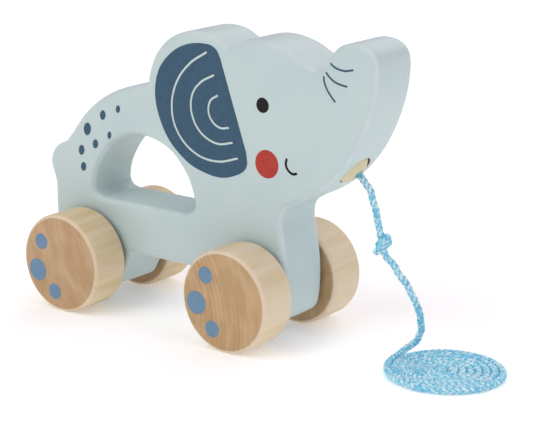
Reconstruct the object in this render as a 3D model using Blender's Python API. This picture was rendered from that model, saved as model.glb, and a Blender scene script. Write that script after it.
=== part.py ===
"""Pull-along elephant: a thick wooden body that rolls on four wheels, with a pull cord.

Metres. +X points towards the head, +Y to the toy's left and +Z up. The origin is on
the ground, below the middle of the toy without its cord. Dimensions that are easier
to read in millimetres are given so and multiplied by MM.
"""
import math

import bmesh
import bpy
from mathutils import Matrix, Vector
from mathutils.geometry import tessellate_polygon

MM = 0.001

# Body
BODY_THICKNESS = 27.0 * MM
BODY_EDGE_RADIUS = 3.0 * MM
BODY_EDGE_STEPS = 2
OUTLINE_SPACING = 3.6 * MM
FOOT_HEIGHT = 8.7
BELLY_HEIGHT = 26.4
HANDLE_FLOOR = 50.0

# Wheels and axles
WHEEL_RADIUS = 22.5 * MM
WHEEL_WIDTH = 19.9 * MM
WHEEL_INNER_FACE = 15.1 * MM
WHEEL_EDGE_RADIUS = 1.4 * MM
FRONT_AXLE_X = 28.8 * MM
REAR_AXLE_X = -65.7 * MM
AXLE_RADIUS = 4.0 * MM
AXLE_CHAMFER = 0.6 * MM
SOCKET_RADIUS = 4.3 * MM
SOCKET_DEPTH = 12.3 * MM
SOCKET_END_GAP = 0.4 * MM
BORE_RADIUS = 4.4 * MM
WHEEL_SIDES = 48
AXLE_SIDES = 24

# Wooden plug in the chin that holds the cord. Its outer end is a low dome.
PLUG_RADIUS = 7.2 * MM
PLUG_LENGTH = 12.0 * MM
PLUG_CHAMFER = 0.6 * MM
PLUG_RIM_CENTRE = Vector((71.5, 0.0, 79.5)) * MM
PLUG_AXIS = Vector((0.788, 0.0, -0.616)).normalized()
PLUG_DOME_HEIGHT = 3.1 * MM
PLUG_DOME_STEPS = 5
PLUG_BORE_RADIUS = 7.75 * MM
PLUG_BORE_DEPTH = 22.0 * MM
PLUG_SIDES = 32

# Pull cord
CORD_RADIUS = 1.55 * MM
CORD_HOLE_RADIUS = 1.9 * MM
CORD_POINT_SPACING = 7.0 * MM
FIT_GAP = 0.3 * MM
ANCHOR_KNOT_RADII = Vector((3.8, 3.8, 3.8)) * MM
KNOT_CENTRE = Vector((85.7, 0.0, 49.6)) * MM
KNOT_RADII = Vector((3.7, 3.7, 4.1)) * MM
COIL_CENTRE = Vector((117.2, 0.9, 0.0)) * MM
COIL_RADIUS = 25.4 * MM
COIL_HOLE_RADIUS = 1.7 * MM
COIL_EDGE_RADIUS = 1.4 * MM
COIL_SIDES = 48

# The cord's route in millimetres, from the plug's dome to the knot and on to the coil
UPPER_ROUTE = (
    (75.4, 0.0, 76.4),
    (77.6, 0.0, 74.0),
    (79.9, 0.0, 70.9),
    (81.5, 0.0, 66.6),
    (82.9, 0.0, 61.6),
    (84.8, 0.0, 54.0),
)
LOWER_ROUTE = (
    (87.5, 0.0, 45.6),
    (90.0, 0.2, 43.0),
    (92.8, 0.6, 39.8),
    (95.8, 1.3, 35.9),
    (98.2, 2.3, 31.8),
    (99.9, 3.6, 27.4),
    (100.7, 5.4, 22.8),
    (100.6, 7.4, 18.0),
    (99.3, 9.7, 12.8),
    (96.4, 11.8, 7.6),
    (93.4, 12.6, 4.4),
    (91.6, 11.6, 2.8),
    (91.0, 9.4, 1.9),
)

# The body's outline in millimetres, X and Z, clockwise from the rear foot. Each stretch
# is one smooth curve, and two stretches meet in a corner.
BODY_OUTLINE = (
    # back of the rear leg, then the tail
    ((-76.0, FOOT_HEIGHT), (-80.8, 9.8), (-84.6, 13.6), (-87.2, 24.0), (-88.4, 40.0),
     (-88.5, 53.0), (-90.7, 60.0), (-90.8, 64.6), (-87.8, 69.8), (-80.9, 73.6)),
    # rump and back, up to the ear
    ((-80.9, 73.6), (-77.2, 77.8), (-68.9, 87.5), (-58.7, 95.6), (-45.8, 101.8), (-30.4, 105.8)),
    # ear
    ((-30.4, 105.8), (-29.3, 111.2), (-25.4, 119.8), (-17.2, 127.4), (-5.6, 131.5),
     (5.8, 131.1), (14.8, 126.7)),
    # head
    ((14.8, 126.7), (22.6, 130.1), (32.6, 131.2), (43.8, 129.0), (53.8, 124.4), (61.4, 122.0)),
    # trunk, its front and the chin
    ((61.4, 122.0), (65.6, 123.9), (68.2, 129.2), (72.8, 133.2), (80.4, 134.6), (87.4, 132.5),
     (90.7, 126.6), (89.9, 114.6), (85.9, 101.3), (79.4, 88.6), (70.6, 77.6), (59.8, 68.9),
     (48.8, 63.1), (44.0, 59.4), (42.8, 53.0), (44.4, 43.0), (45.8, 31.6), (45.4, 19.6),
     (43.6, 12.4), (38.6, FOOT_HEIGHT)),
    # front foot
    ((38.6, FOOT_HEIGHT), (18.6, FOOT_HEIGHT)),
    # back of the front leg
    ((18.6, FOOT_HEIGHT), (13.6, 10.6), (10.4, 15.6), (4.1, BELLY_HEIGHT)),
    # belly
    ((4.1, BELLY_HEIGHT), (-41.0, BELLY_HEIGHT)),
    # front of the rear leg
    ((-41.0, BELLY_HEIGHT), (-47.3, 15.6), (-50.5, 10.6), (-55.5, FOOT_HEIGHT)),
    # rear foot
    ((-55.5, FOOT_HEIGHT), (-76.0, FOOT_HEIGHT)),
)

# The handle opening's outline, clockwise too
HANDLE_OUTLINE = (
    ((-58.4, HANDLE_FLOOR), (-62.4, 51.6), (-63.7, 56.0), (-60.6, 65.2), (-52.4, 75.8),
     (-40.8, 81.6), (-28.6, 81.3), (-17.2, 76.7), (-8.6, 67.2), (-4.6, 56.4), (-5.7, 51.8),
     (-10.0, HANDLE_FLOOR)),
    ((-10.0, HANDLE_FLOOR), (-58.4, HANDLE_FLOOR)),
)


def clear_scene():
    for existing in list(bpy.data.objects):
        bpy.data.objects.remove(existing)


def make_material(name, colour, roughness, metallic=0.0):
    material = bpy.data.materials.new(name)
    material.use_nodes = True
    shader = material.node_tree.nodes["Principled BSDF"]
    shader.inputs["Base Color"].default_value = (*colour, 1.0)
    shader.inputs["Roughness"].default_value = roughness
    shader.inputs["Metallic"].default_value = metallic
    return material


def make_object(name, bm, material, parent=None, smooth_angle=35.0):
    """Turn a bmesh into a named object whose faces point out."""
    bmesh.ops.recalc_face_normals(bm, faces=bm.faces)
    mesh = bpy.data.meshes.new(name)
    bm.to_mesh(mesh)
    bm.free()
    mesh.shade_smooth()
    mesh.set_sharp_from_angle(angle=math.radians(smooth_angle))
    mesh.materials.append(material)
    return link_object(name, mesh, parent)


def link_object(name, data, parent=None):
    item = bpy.data.objects.new(name, data)
    item.parent = parent
    bpy.context.scene.collection.objects.link(item)
    return item


def catmull_rom(before, start, end, after, t):
    """A point between start and end on the smooth curve through all four."""
    return 0.5 * (2 * start + (end - before) * t
                  + (2 * before - 5 * start + 4 * end - after) * t ** 2
                  + (3 * start - before - 3 * end + after) * t ** 3)


def smooth_curve(knots, spacing):
    """Points about one spacing apart on a smooth curve through the knots, ends included."""
    padded = [2 * knots[0] - knots[1], *knots, 2 * knots[-1] - knots[-2]]
    points = [knots[0]]
    for index in range(1, len(padded) - 2):
        span = padded[index - 1:index + 3]
        steps = max(1, round((span[2] - span[1]).length / spacing))
        points += [catmull_rom(*span, step / steps) for step in range(1, steps + 1)]
    return points


def closed_outline(stretches):
    """One closed ring of 2D points from stretches of smooth curve, in metres."""
    ring = []
    for stretch in stretches:
        knots = [Vector(knot) * MM for knot in stretch]
        straight = len(knots) == 2
        points = knots if straight else smooth_curve(knots, OUTLINE_SPACING)
        ring += points[:-1]
    return ring


def inset_outline(ring, distance):
    """Move every point of a clockwise ring to its right, into the material."""
    moved = []
    for index, point in enumerate(ring):
        incoming = (point - ring[index - 1]).normalized()
        outgoing = (ring[(index + 1) % len(ring)] - point).normalized()
        right_in = Vector((incoming.y, -incoming.x))
        right_out = Vector((outgoing.y, -outgoing.x))
        bisector = (right_in + right_out).normalized()
        moved.append(point + bisector * distance / bisector.dot(right_in))
    return moved


def rounded_edge_sections():
    """Inset and Y of each ring across the body's thickness, from one face to the other."""
    half = BODY_THICKNESS / 2
    quarter = []
    for step in range(BODY_EDGE_STEPS + 1):
        turn = math.pi / 2 * step / BODY_EDGE_STEPS
        inset = BODY_EDGE_RADIUS * (1 - math.sin(turn))
        depth = half - BODY_EDGE_RADIUS * (1 - math.cos(turn))
        quarter.append((inset, depth))
    return [(inset, -depth) for inset, depth in quarter] + quarter[::-1]


def loft_wall(bm, outline, sections, side):
    """Rings of the outline at each section, joined into a wall. Returns the vertex rings."""
    rings = []
    for inset, y in sections:
        placed = inset_outline(outline, side * inset)
        rings.append([bm.verts.new((point.x, y, point.y)) for point in placed])
    for near, far in zip(rings, rings[1:]):
        for index in range(len(near)):
            after = (index + 1) % len(near)
            bm.faces.new((near[index], near[after], far[after], far[index]))
    return rings


def cap_between(bm, outer, inner):
    """Fill the flat face between an outer ring of vertices and the opening's ring."""
    corners = outer + inner
    loops = [[vert.co for vert in outer], [vert.co for vert in inner]]
    for triangle in tessellate_polygon(loops):
        bm.faces.new([corners[index] for index in triangle])


def body_mesh():
    bm = bmesh.new()
    sections = rounded_edge_sections()
    outer = loft_wall(bm, closed_outline(BODY_OUTLINE), sections, 1)
    inner = loft_wall(bm, closed_outline(HANDLE_OUTLINE), sections, -1)
    for end in (0, -1):
        cap_between(bm, outer[end], inner[end])
    return bm


def turned_mesh(profile, sides):
    """Turn a profile of (radius, height) points about Z. A radius of 0 is a pole."""
    bm = bmesh.new()
    rings = []
    for radius, height in profile:
        if radius == 0:
            rings.append([bm.verts.new((0, 0, height))] * sides)
            continue
        angles = [2 * math.pi * side / sides for side in range(sides)]
        rings.append([bm.verts.new((radius * math.cos(a), radius * math.sin(a), height))
                      for a in angles])
    closed = profile[0][0] != 0
    pairs = zip(rings, rings[1:] + rings[:1]) if closed else zip(rings, rings[1:])
    for near, far in pairs:
        for side in range(sides):
            after = (side + 1) % sides
            corners = [near[side], near[after], far[after], far[side]]
            bm.faces.new(list(dict.fromkeys(corners)))
    return bm


def place(bm, origin, direction):
    """Move a mesh made about Z so that its Z axis runs along the direction from origin."""
    turn = direction.to_track_quat("Z", "Y").to_matrix().to_4x4()
    bm.transform(Matrix.Translation(origin) @ turn)
    return bm


def rod_profile(radius, low, high, chamfer):
    return [(0, low), (radius - chamfer, low), (radius, low + chamfer),
            (radius, high - chamfer), (radius - chamfer, high), (0, high)]


def arc_points(centre, radius, start, end, steps):
    """Points on an arc in the profile's plane; angles in degrees from +radius to +height."""
    angles = [math.radians(start + (end - start) * step / steps) for step in range(steps + 1)]
    return [(centre[0] + radius * math.cos(a), centre[1] + radius * math.sin(a)) for a in angles]


def wheel_profile():
    """From the socket's bottom out over the inner face, the tread and the outer face."""
    edge = WHEEL_EDGE_RADIUS
    rim = WHEEL_RADIUS - edge
    profile = [(0, SOCKET_DEPTH), (SOCKET_RADIUS, SOCKET_DEPTH), (SOCKET_RADIUS, 0)]
    profile += arc_points((rim, edge), edge, -90, 0, 3)
    profile += arc_points((rim, WHEEL_WIDTH - edge), edge, 0, 90, 3)
    profile.append((0, WHEEL_WIDTH))
    return profile


def make_cutter(name, bm):
    cutter = make_object(name, bm, MATERIALS["beech"])
    cutter.hide_render = True
    cutter.display_type = "WIRE"
    return cutter


def cut(target, cutter):
    modifier = target.modifiers.new("cut " + cutter.name, "BOOLEAN")
    modifier.operation = "DIFFERENCE"
    modifier.solver = "EXACT"
    modifier.object = cutter


def make_body():
    body = make_object("body", body_mesh(), MATERIALS["paint"])
    across = BODY_THICKNESS
    for name, x in (("front_bore_cutter", FRONT_AXLE_X), ("rear_bore_cutter", REAR_AXLE_X)):
        bore = turned_mesh(rod_profile(BORE_RADIUS, -across, across, 0.1 * MM), AXLE_SIDES)
        place(bore, Vector((x, 0, WHEEL_RADIUS)), Vector((0, 1, 0)))
        cut(body, make_cutter(name, bore))
    pocket = rod_profile(PLUG_BORE_RADIUS, -PLUG_BORE_DEPTH, PLUG_LENGTH, 0.1 * MM)
    bore = place(turned_mesh(pocket, PLUG_SIDES), PLUG_RIM_CENTRE, PLUG_AXIS)
    cut(body, make_cutter("plug_bore_cutter", bore))


def make_wheelset(end, x):
    """One turning unit: an axle with a wheel pressed on each end, about an empty."""
    hub = link_object(end + "_wheelset", None)
    hub.location = (x, 0, WHEEL_RADIUS)
    half = WHEEL_INNER_FACE + SOCKET_DEPTH - SOCKET_END_GAP
    axle = turned_mesh(rod_profile(AXLE_RADIUS, -half, half, AXLE_CHAMFER), AXLE_SIDES)
    across = Vector((0, 1, 0))
    make_object(end + "_axle", place(axle, Vector(), across), MATERIALS["beech"], hub)
    for side, sign in (("left", 1), ("right", -1)):
        wheel = turned_mesh(wheel_profile(), WHEEL_SIDES)
        place(wheel, Vector((0, sign * WHEEL_INNER_FACE, 0)), sign * across)
        make_object(end + "_" + side + "_wheel", wheel, MATERIALS["beech"], hub)


def dome_profile():
    """The dome's radius and height from the plug's rim in to the cord hole."""
    sphere = (PLUG_RADIUS ** 2 + PLUG_DOME_HEIGHT ** 2) / (2 * PLUG_DOME_HEIGHT)
    floor = sphere - PLUG_DOME_HEIGHT
    points = []
    for step in range(PLUG_DOME_STEPS + 1):
        radius = PLUG_RADIUS + (CORD_HOLE_RADIUS - PLUG_RADIUS) * step / PLUG_DOME_STEPS
        points.append((radius, math.sqrt(sphere ** 2 - radius ** 2) - floor))
    return points


def make_plug():
    edge = PLUG_RADIUS - PLUG_CHAMFER
    profile = [(CORD_HOLE_RADIUS, -PLUG_LENGTH), (edge, -PLUG_LENGTH),
               (PLUG_RADIUS, PLUG_CHAMFER - PLUG_LENGTH), *dome_profile()]
    plug = place(turned_mesh(profile, PLUG_SIDES), PLUG_RIM_CENTRE, PLUG_AXIS)
    make_object("cord_plug", plug, MATERIALS["beech"])


def make_knot(name, centre, radii):
    bm = bmesh.new()
    bmesh.ops.create_uvsphere(bm, u_segments=12, v_segments=8, radius=1.0)
    bm.transform(Matrix.LocRotScale(centre, None, radii))
    make_object(name, bm, MATERIALS["cord"])


def make_cord_tube(name, route):
    """A plain tube along the smooth curve through the route's points."""
    points = smooth_curve(route, CORD_POINT_SPACING)
    curve = bpy.data.curves.new(name, "CURVE")
    curve.dimensions = "3D"
    curve.bevel_depth = CORD_RADIUS
    curve.bevel_resolution = 2
    curve.use_fill_caps = True
    spline = curve.splines.new("POLY")
    spline.points.add(len(points) - 1)
    for slot, point in zip(spline.points, points):
        slot.co = (*point, 1.0)
    curve.materials.append(MATERIALS["cord"])
    link_object(name, curve)


def make_cord():
    top_of_dome = PLUG_RIM_CENTRE + PLUG_AXIS * PLUG_DOME_HEIGHT
    back_of_plug = PLUG_RIM_CENTRE - PLUG_AXIS * PLUG_LENGTH
    anchor = back_of_plug - PLUG_AXIS * (FIT_GAP + ANCHOR_KNOT_RADII.x)
    make_knot("anchor_knot", anchor, ANCHOR_KNOT_RADII)
    make_knot("cord_knot", KNOT_CENTRE, KNOT_RADII)
    middle_of_plug = back_of_plug.lerp(top_of_dome, 0.5)
    upper = [back_of_plug, middle_of_plug, top_of_dome]
    upper += [Vector(point) * MM for point in UPPER_ROUTE]
    make_cord_tube("upper_cord", upper)
    make_cord_tube("lower_cord", [Vector(point) * MM for point in LOWER_ROUTE])


def make_coil():
    """The coil's outer shape: a flat turned ring one cord thick, with rounded edges."""
    thickness = 2 * CORD_RADIUS
    edge = COIL_EDGE_RADIUS
    profile = [(COIL_HOLE_RADIUS, thickness), (COIL_HOLE_RADIUS, 0)]
    profile += arc_points((COIL_RADIUS - edge, edge), edge, -90, 0, 3)
    profile += arc_points((COIL_RADIUS - edge, thickness - edge), edge, 0, 90, 3)
    coil = turned_mesh(profile, COIL_SIDES)
    bmesh.ops.translate(coil, vec=COIL_CENTRE, verts=coil.verts)
    make_object("cord_coil", coil, MATERIALS["cord"])


clear_scene()
MATERIALS = {
    "paint": make_material("pale blue paint", (0.52, 0.61, 0.61), 0.45),
    "beech": make_material("oiled beech", (0.62, 0.45, 0.27), 0.55),
    "cord": make_material("braided blue cord", (0.21, 0.58, 0.80), 0.65),
}
make_body()
make_wheelset("front", FRONT_AXLE_X)
make_wheelset("rear", REAR_AXLE_X)
make_plug()
make_cord()
make_coil()
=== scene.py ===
"""Looks of the pull-along elephant: painted body, turned beech wheels, prints and braided cord.

Metres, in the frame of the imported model. Dimensions that are easier to read in
millimetres are given so and multiplied by MM.
"""
import math

import bmesh
import bpy
import numpy as np
from mathutils import Matrix, Vector
from mathutils.bvhtree import BVHTree
from mathutils.geometry import tessellate_polygon


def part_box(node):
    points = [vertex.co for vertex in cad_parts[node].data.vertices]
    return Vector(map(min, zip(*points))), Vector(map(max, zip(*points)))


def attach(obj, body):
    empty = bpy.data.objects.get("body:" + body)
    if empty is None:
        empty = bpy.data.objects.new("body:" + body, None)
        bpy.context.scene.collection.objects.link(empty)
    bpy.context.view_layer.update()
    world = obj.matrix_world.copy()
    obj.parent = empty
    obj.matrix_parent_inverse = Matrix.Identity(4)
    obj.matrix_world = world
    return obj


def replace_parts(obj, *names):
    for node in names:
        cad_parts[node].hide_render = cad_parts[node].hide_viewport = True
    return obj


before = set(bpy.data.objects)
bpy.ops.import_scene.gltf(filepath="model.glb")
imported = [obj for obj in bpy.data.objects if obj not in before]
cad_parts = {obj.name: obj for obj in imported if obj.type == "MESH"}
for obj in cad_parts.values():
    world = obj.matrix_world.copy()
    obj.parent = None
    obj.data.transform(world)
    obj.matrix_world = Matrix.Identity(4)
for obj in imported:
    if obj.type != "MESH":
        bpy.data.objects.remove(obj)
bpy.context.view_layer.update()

MM = 0.001
ACROSS = Vector((0.0, 1.0, 0.0))
SIDES = (("left", 1), ("right", -1))
TOY_BODY = "elephant"

# Body
BODY_LOW, BODY_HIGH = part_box("body")
BODY_HALF = (BODY_HIGH.y - BODY_LOW.y) / 2
EDGE_RADIUS = 3.0 * MM
HANDLE_EDGE_RADIUS = 2.5 * MM
EDGE_STEPS = 8
FACE_MARGIN = 0.4 * MM
OUTLINE_SPACING = 1.2 * MM
UNCROSS_PASSES = 8
WELD_DISTANCE = 0.002 * MM
AXLE_CLEARANCE = 0.4 * MM
BORE_CHAMFER = 0.1 * MM

# Wheels
WHEEL_EDGE_RADIUS = 2.2 * MM
WHEEL_EDGE_STEPS = 9
WHEEL_SIDES = 160
SOCKET_CLEARANCE = 0.3 * MM
SOCKET_ROUNDING = 0.4 * MM
SOCKET_END_GAP = 0.4 * MM
AXLE_CHAMFER = 0.6 * MM
AXLE_SIDES = 64

# Wooden plug in the chin, with a domed end
PLUG_RADIUS = 7.2 * MM
PLUG_LENGTH = 12.0 * MM
PLUG_CHAMFER = 0.6 * MM
PLUG_RIM_CENTRE = Vector((71.5, 0.0, 79.5)) * MM
PLUG_AXIS = Vector((0.788, 0.0, -0.616)).normalized()
PLUG_RIM_BAND = 0.2 * MM
PLUG_DOME_HEIGHT = 3.1 * MM
PLUG_DOME_STEPS = 14
PLUG_TOP = PLUG_RIM_CENTRE + PLUG_AXIS * PLUG_DOME_HEIGHT
PLUG_BACK = PLUG_RIM_CENTRE - PLUG_AXIS * PLUG_LENGTH
PLUG_BORE_RADIUS = 7.75 * MM
PLUG_BORE_DEPTH = 22.0 * MM
PLUG_SIDES = 96

# Pull cord: an eight-strand braid
CORD_RADIUS = 1.65 * MM
CORD_HOLE_RADIUS = 1.9 * MM
CORD_HOLE_ROUNDING = 0.35 * MM
STRANDS = 8
BRAID_PITCH = 10.4 * MM
BRAID_STEP = 0.42 * MM
STRAND_SIDES = 6
STRAND_RING = 0.60
STRAND_WEAVE = 0.16
STRAND_HALF_THICKNESS = 0.26
STRAND_HALF_WIDTH = 0.50
CORD_SHARP_ANGLE = 80

# Knots: the cord wraps round itself on a slant
KNOT_CORD_SCALE = 0.98
KNOT_WRAP_RADIUS = 3.0 * MM
KNOT_RISE = 3.7 * MM
KNOT_SLANT = 1.8 * MM
KNOT_SLANT_TURN = 0.64
KNOT_TURNS = 1.75
KNOT_POINTS = 40
KNOT_CENTRE = Vector((85.7, 0.0, 49.6)) * MM
ANCHOR_KNOT_DEPTH = 4.1 * MM

# The cord's route from the plug's dome to the knot, and from the knot down to the coil
UPPER_ROUTE = (
    (75.4, 0.0, 76.4),
    (77.6, 0.0, 74.0),
    (79.9, 0.0, 70.9),
    (81.5, 0.0, 66.6),
    (82.9, 0.0, 61.6),
    (84.8, 0.0, 54.0),
)
LOWER_ROUTE = (
    (87.5, 0.0, 45.6),
    (90.0, 0.2, 43.0),
    (92.8, 0.6, 39.8),
    (95.8, 1.3, 35.9),
    (98.2, 2.3, 31.8),
    (99.9, 3.6, 27.4),
    (100.7, 5.4, 22.8),
    (100.6, 7.4, 18.0),
    (99.3, 9.7, 12.8),
    (96.4, 11.8, 7.6),
    (93.4, 12.6, 4.4),
    (91.6, 11.6, 2.8),
    (91.0, 9.4, 1.9),
)

# Small waves in the hanging part, which fade out towards the plug and the ground
WAVE_HEIGHT = 0.15 * MM
WAVE_LENGTH = 8.3 * MM
WAVE_LOWEST = 4.0 * MM
WAVE_FADE = 8.0 * MM

# The flat coil on the ground, wound inwards from the cord's side. It flares out over its
# first few points to meet the hanging part.
COIL_OUTER_CENTRE = Vector((118.2, 0.3)) * MM
COIL_INNER_CENTRE = Vector((118.4, -2.0)) * MM
COIL_START_RADIUS = 25.1 * MM
COIL_END_RADIUS = 1.9 * MM
COIL_TURN_GAP = 3.12 * MM
COIL_START_ANGLE = math.radians(172)
COIL_FLARE = 1.3 * MM
COIL_FLARE_POINTS = 1.3
COIL_WOBBLE = 0.12 * MM
COIL_WOBBLES_PER_TURN = 3.1
COIL_DEPTH_SCALE = 0.955
COIL_POINTS_PER_TURN = 24
COIL_GROUND_GAP = 0.02 * MM
COIL_HEIGHT = (CORD_RADIUS * (STRAND_RING + STRAND_WEAVE + STRAND_HALF_THICKNESS)
               + COIL_GROUND_GAP)

# The body's outline in millimetres, X and Z, clockwise from the rear foot. Each stretch
# is one smooth curve, and two stretches meet in a corner.
BODY_OUTLINE = (
    # back of the rear leg, then the tail
    ((-76.0, 8.7), (-80.8, 9.8), (-84.6, 13.6), (-87.2, 24.0), (-88.4, 40.0),
     (-88.5, 53.0), (-90.7, 60.0), (-90.8, 64.6), (-87.8, 69.8), (-80.9, 73.6)),
    # rump and back, up to the ear
    ((-80.9, 73.6), (-77.2, 77.8), (-68.9, 87.5), (-58.7, 95.6), (-45.8, 101.8), (-30.4, 105.8)),
    # ear
    ((-30.4, 105.8), (-29.3, 111.2), (-25.4, 119.8), (-17.2, 127.4), (-5.6, 131.5),
     (5.8, 131.1), (14.8, 126.7)),
    # head
    ((14.8, 126.7), (22.6, 130.1), (32.6, 131.2), (43.8, 129.0), (53.8, 124.4), (61.4, 122.0)),
    # trunk, its front and the chin
    ((61.4, 122.0), (65.6, 123.9), (68.2, 129.2), (72.8, 133.2), (80.4, 134.6), (87.4, 132.5),
     (90.7, 126.6), (89.9, 114.6), (85.9, 101.3), (79.4, 88.6), (70.6, 77.6), (59.8, 68.9),
     (48.8, 63.1), (44.0, 59.4), (42.8, 53.0), (44.4, 43.0), (45.8, 31.6), (45.4, 19.6),
     (43.6, 12.4), (38.6, 8.7)),
    # front foot
    ((38.6, 8.7), (18.6, 8.7)),
    # back of the front leg
    ((18.6, 8.7), (13.6, 10.6), (10.4, 15.6), (4.1, 26.4)),
    # belly
    ((4.1, 26.4), (-41.0, 26.4)),
    # front of the rear leg
    ((-41.0, 26.4), (-47.3, 15.6), (-50.5, 10.6), (-55.5, 8.7)),
    # rear foot
    ((-55.5, 8.7), (-76.0, 8.7)),
)
HANDLE_OUTLINE = (
    ((-58.4, 50.0), (-62.4, 51.6), (-63.7, 56.0), (-60.6, 65.2), (-52.4, 75.8),
     (-40.8, 81.6), (-28.6, 81.3), (-17.2, 76.7), (-8.6, 67.2), (-4.6, 56.4), (-5.7, 51.8),
     (-10.0, 50.0)),
    ((-10.0, 50.0), (-58.4, 50.0)),
)

# Prints on both faces of the body, in millimetres, X and Z
EAR_OUTLINE = (
    ((25.2, 82.5), (25.4, 76.9), (21.5, 73.0), (12.6, 70.0), (3.5, 70.5), (-7.2, 74.0),
     (-17.9, 82.8), (-23.9, 94.4), (-25.1, 104.8), (-22.0, 114.4), (-14.2, 122.2),
     (-5.0, 126.2), (4.5, 127.0), (9.2, 125.3), (11.5, 121.8)),
    ((11.5, 121.8), (25.2, 82.5)),
)
EAR_ARCS = (
    ((3.9, 123.3), (-4.7, 118.0), (-11.8, 110.3), (-15.5, 100.7), (-14.7, 90.8), (-9.1, 82.6),
     (-0.1, 77.6), (10.3, 76.8), (20.2, 79.5)),
    ((7.8, 113.9), (1.2, 110.5), (-3.7, 105.1), (-4.9, 98.0), (-2.3, 91.1), (3.1, 86.4),
     (10.2, 84.5), (17.5, 86.0)),
    ((9.8, 105.4), (6.2, 103.1), (4.8, 99.6), (5.4, 96.0), (7.8, 93.1), (11.4, 91.6),
     (15.5, 92.2)),
)
EAR_ARC_WIDTH = 0.9
TRUNK_WRINKLES = (
    ((68.7, 125.7), (70.8, 124.4), (73.1, 123.7), (76.2, 123.5), (79.6, 124.2)),
    ((66.6, 121.7), (68.4, 120.0), (70.9, 118.4), (73.8, 117.6), (76.7, 117.2)),
    ((65.4, 119.9), (65.7, 117.6), (66.9, 115.1), (68.7, 112.7), (70.9, 110.4)),
)
WRINKLE_WIDTH = 0.82
MOUTH = ((46.5, 82.9), (46.1, 81.1), (46.6, 79.2), (48.0, 77.8), (49.7, 77.1), (51.5, 77.5))
MOUTH_WIDTH = 1.12
EYE_CENTRE = (34.0, 104.3)
EYE_RADIUS = 3.25
CHEEK_CENTRE = (36.1, 79.4)
CHEEK_RADIUS = 6.1
# centre X and Z, then half width and half height
RUMP_SPOTS = (
    (-66.3, 80.9, 2.15, 3.0),
    (-56.6, 88.5, 1.65, 2.25),
    (-47.3, 92.4, 1.25, 1.75),
    (-52.9, 79.8, 1.15, 1.75),
    (-61.6, 74.6, 1.6, 2.15),
    (-70.3, 70.6, 1.7, 2.4),
    (-69.4, 63.0, 1.6, 2.15),
)
SPOT_LEAN = math.radians(15)
SPOT_RINGS = 5
PRINT_SPACING = 0.6
STROKE_END_STEPS = 8
PRINT_SINK = 0.03 * MM
PRINT_LIFT = 0.06 * MM
OVERPRINT_LIFT = 0.10 * MM

# Dots on the outer face of each wheel: angle about the axle, distance out and radius
WHEEL_DOTS = ((-59.0, 14.0, 3.7), (0.0, 14.6, 5.1), (55.5, 14.0, 3.7))
FRONT_DOTS_TURN = 190.0
REAR_DOTS_TURN = 200.0

# Wood: turns about the pith are scaled to the millimetres of an arc at this radius
ARC_SCALE = 45.0
LATE_WOOD = (160, 112, 72)
BODY_PITH = Vector((0.0, 0.060, -0.040))
BODY_FIBRE = Vector((1.0, 0.0, 0.0))
AXLE_PITH = Vector((0.012, 0.0, 0.021))
PLUG_PITH = Vector((0.020, 0.030, 0.0))
PLUG_FIBRE = Vector((0.616, 0.0, 0.788))

# Stage
FLOOR_REACH = 30.0
FLOOR_GLOW = 0.25
SKY_TINT = (0.97, 0.985, 1.0, 1.0)
SKY_STRENGTH = 0.08
# sines of the elevations between which the bright horizon fades into the sky
HORIZON_GLOW = (0.12, 0.20)

# Camera
CAMERA_TARGET = Vector((0.0419, 0.0, 0.0540))
CAMERA_DISTANCE = 0.7628
CAMERA_AZIMUTH = math.radians(36.757)
CAMERA_ELEVATION = math.radians(15.417)
CAMERA_LENS = 120.77
CAMERA_SHIFT = (-0.0576, 0.0141)


def link_object(name, data):
    item = bpy.data.objects.new(name, data)
    bpy.context.scene.collection.objects.link(item)
    return item


# ---------------------------------------------------------------- camera

def make_camera():
    flat = math.cos(CAMERA_ELEVATION)
    back = Vector((math.sin(CAMERA_AZIMUTH) * flat, -math.cos(CAMERA_AZIMUTH) * flat,
                   math.sin(CAMERA_ELEVATION)))
    data = bpy.data.cameras.new("camera")
    data.sensor_width = 36.0
    data.lens = CAMERA_LENS
    data.shift_x, data.shift_y = CAMERA_SHIFT
    data.clip_start = 0.01
    camera = link_object("camera", data)
    camera.location = CAMERA_TARGET + back * CAMERA_DISTANCE
    camera.rotation_euler = back.to_track_quat("Z", "Y").to_euler()
    bpy.context.scene.camera = camera


# ---------------------------------------------------------------- curves

def catmull_rom(before, start, end, after, t):
    """A point between start and end on the smooth curve through all four."""
    return 0.5 * (2 * start + (end - before) * t
                  + (2 * before - 5 * start + 4 * end - after) * t ** 2
                  + (3 * start - before - 3 * end + after) * t ** 3)


def smooth_curve(knots, spacing):
    """Points about one spacing apart on a smooth curve through the knots, ends included."""
    padded = [2 * knots[0] - knots[1], *knots, 2 * knots[-1] - knots[-2]]
    points = [knots[0]]
    for index in range(1, len(padded) - 2):
        span = padded[index - 1:index + 3]
        steps = max(1, round((span[2] - span[1]).length / spacing))
        points += [catmull_rom(*span, step / steps) for step in range(1, steps + 1)]
    return points


def closed_outline(stretches, spacing):
    """One closed ring of 2D points, in metres, from stretches of smooth curve."""
    ring = []
    for stretch in stretches:
        knots = [Vector(knot) * MM for knot in stretch]
        ring += smooth_curve(knots, spacing)[:-1]
    return ring


def evenly_spaced(points, step):
    """The same line with its points exactly one step apart, as an array."""
    line = np.array([tuple(point) for point in points])
    lengths = np.concatenate(([0.0], np.cumsum(np.linalg.norm(np.diff(line, axis=0), axis=1))))
    count = int(lengths[-1] / step)
    stations = np.arange(count + 1) * step
    return np.stack([np.interp(stations, lengths, line[:, axis]) for axis in range(3)], axis=1)


def unit(vectors):
    """The vectors of an array, each scaled to a length of one."""
    return vectors / np.linalg.norm(vectors, axis=-1, keepdims=True)


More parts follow.
